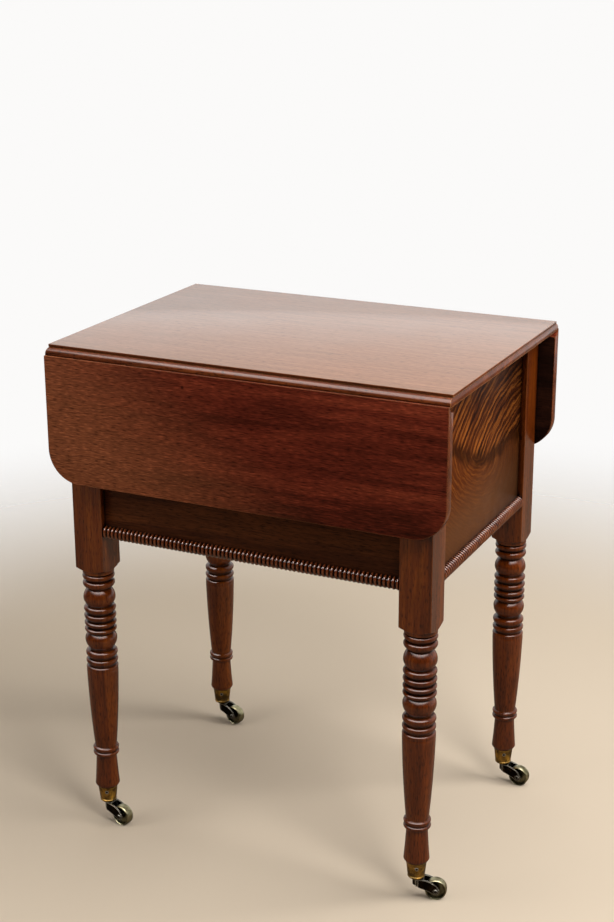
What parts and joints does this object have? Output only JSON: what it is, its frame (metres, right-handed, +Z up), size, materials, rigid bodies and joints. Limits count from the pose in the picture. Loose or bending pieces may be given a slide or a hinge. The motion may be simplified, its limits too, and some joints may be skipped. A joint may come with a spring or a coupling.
{
  "type": "pembroke table",
  "caption": "Small mahogany pembroke table with drop leaves on rule joints, an end drawer, ring-turned legs and brass cup casters.",
  "frame": {"origin": "on the floor, under the middle of the top", "axes": "+Z up; +X along the hinges, from the drawer end to the plain end panel; +Y from the front leaf to the back leaf"},
  "size_m": [0.577, 0.4312, 0.72],
  "materials": {
    "top_wood": "old polished mahogany, faded",
    "leaf_wood": "old polished mahogany",
    "panel_veneer": "figured mahogany veneer, polished",
    "frame_wood": "old polished mahogany",
    "moulding_wood": "turned mahogany, polished",
    "leg_wood": "turned mahogany, polished",
    "knob_wood": "turned mahogany, polished",
    "lining_wood": "plain softwood and oak, unpolished",
    "hinge_iron": "dark wrought iron",
    "cup_brass": "aged brass",
    "horn_brass": "dark tarnished brass",
    "wheel_brass": "worn brass"
  },
  "bodies": {
    "frame": {"top_board": "top_wood", "end_panel_right": "panel_veneer", "drawer_bottom_rail": "frame_wood", "drawer_top_rail": "frame_wood", "caster_cups": "cup_brass", "moulding_right": "moulding_wood", "moulding_left": "moulding_wood", "hinge_top_flaps_back": "hinge_iron", "side_apron_back": "frame_wood", "moulding_back": "moulding_wood", "fly_rail_back": "lining_wood", "fly_bracket_back": "lining_wood", "drawer_runner_back": "lining_wood", "drawer_kicker_back": "lining_wood", "hinge_top_flaps_front": "hinge_iron", "side_apron_front": "frame_wood", "moulding_front": "moulding_wood", "fly_rail_front": "lining_wood", "fly_bracket_front": "lining_wood", "drawer_runner_front": "lining_wood", "drawer_kicker_front": "lining_wood", "leg_front_left": "leg_wood", "leg_front_right": "leg_wood", "leg_back_left": "leg_wood", "leg_back_right": "leg_wood"},
    "leaf_back": {"leaf_back": "leaf_wood", "hinge_leaf_flaps_back": "hinge_iron"},
    "leaf_front": {"leaf_front": "leaf_wood", "hinge_leaf_flaps_front": "hinge_iron"},
    "drawer": {"drawer_front": "panel_veneer", "drawer_side_back": "lining_wood", "drawer_side_front": "lining_wood", "drawer_back": "lining_wood", "drawer_bottom": "lining_wood", "drawer_knobs": "knob_wood"},
    "swivel_front_left": {"caster_horn_front_left": "horn_brass"},
    "wheel_front_left": {"caster_wheel_front_left": "wheel_brass"},
    "swivel_front_right": {"caster_horn_front_right": "horn_brass"},
    "wheel_front_right": {"caster_wheel_front_right": "wheel_brass"},
    "swivel_back_left": {"caster_horn_back_left": "horn_brass"},
    "wheel_back_left": {"caster_wheel_back_left": "wheel_brass"},
    "swivel_back_right": {"caster_horn_back_right": "horn_brass"},
    "wheel_back_right": {"caster_wheel_back_right": "wheel_brass"}
  },
  "joints": [
    {"name": "leaf_back_hinge", "type": "hinge", "parent": "frame", "child": "leaf_back", "pos_m": [0, 0.20275, 0.7072], "axis": [1, 0, 0], "range_deg": [0, 90]},
    {"name": "leaf_front_hinge", "type": "hinge", "parent": "frame", "child": "leaf_front", "pos_m": [0, -0.20275, 0.7072], "axis": [-1, 0, 0], "range_deg": [0, 90]},
    {"name": "drawer_slide", "type": "slide", "parent": "frame", "child": "drawer", "axis": [-1, 0, 0], "range_m": [0, 0.3]},
    {"name": "caster_swivel_front_left", "type": "hinge", "parent": "frame", "child": "swivel_front_left", "pos_m": [-0.2425, -0.1765, 0.027], "axis": [0, 0, 1], "continuous": true},
    {"name": "caster_wheel_front_left", "type": "hinge", "parent": "swivel_front_left", "child": "wheel_front_left", "pos_m": [-0.21591, -0.18119, 0.015], "axis": [0.1736, 0.9848, 0], "continuous": true},
    {"name": "caster_swivel_front_right", "type": "hinge", "parent": "frame", "child": "swivel_front_right", "pos_m": [0.2425, -0.1765, 0.027], "axis": [0, 0, 1], "continuous": true},
    {"name": "caster_wheel_front_right", "type": "hinge", "parent": "swivel_front_right", "child": "wheel_front_right", "pos_m": [0.26832, -0.16861, 0.015], "axis": [-0.2924, 0.9563, 0], "continuous": true},
    {"name": "caster_swivel_back_left", "type": "hinge", "parent": "frame", "child": "swivel_back_left", "pos_m": [-0.2425, 0.1765, 0.027], "axis": [0, 0, 1], "continuous": true},
    {"name": "caster_wheel_back_left", "type": "hinge", "parent": "swivel_back_left", "child": "wheel_back_left", "pos_m": [-0.21609, 0.17089, 0.015], "axis": [0.2079, 0.9781, 0], "continuous": true},
    {"name": "caster_swivel_back_right", "type": "hinge", "parent": "frame", "child": "swivel_back_right", "pos_m": [0.2425, 0.1765, 0.027], "axis": [0, 0, 1], "continuous": true},
    {"name": "caster_wheel_back_right", "type": "hinge", "parent": "swivel_back_right", "child": "wheel_back_right", "pos_m": [0.26946, 0.17509, 0.015], "axis": [0.0523, 0.9986, 0], "continuous": true}
  ]
}
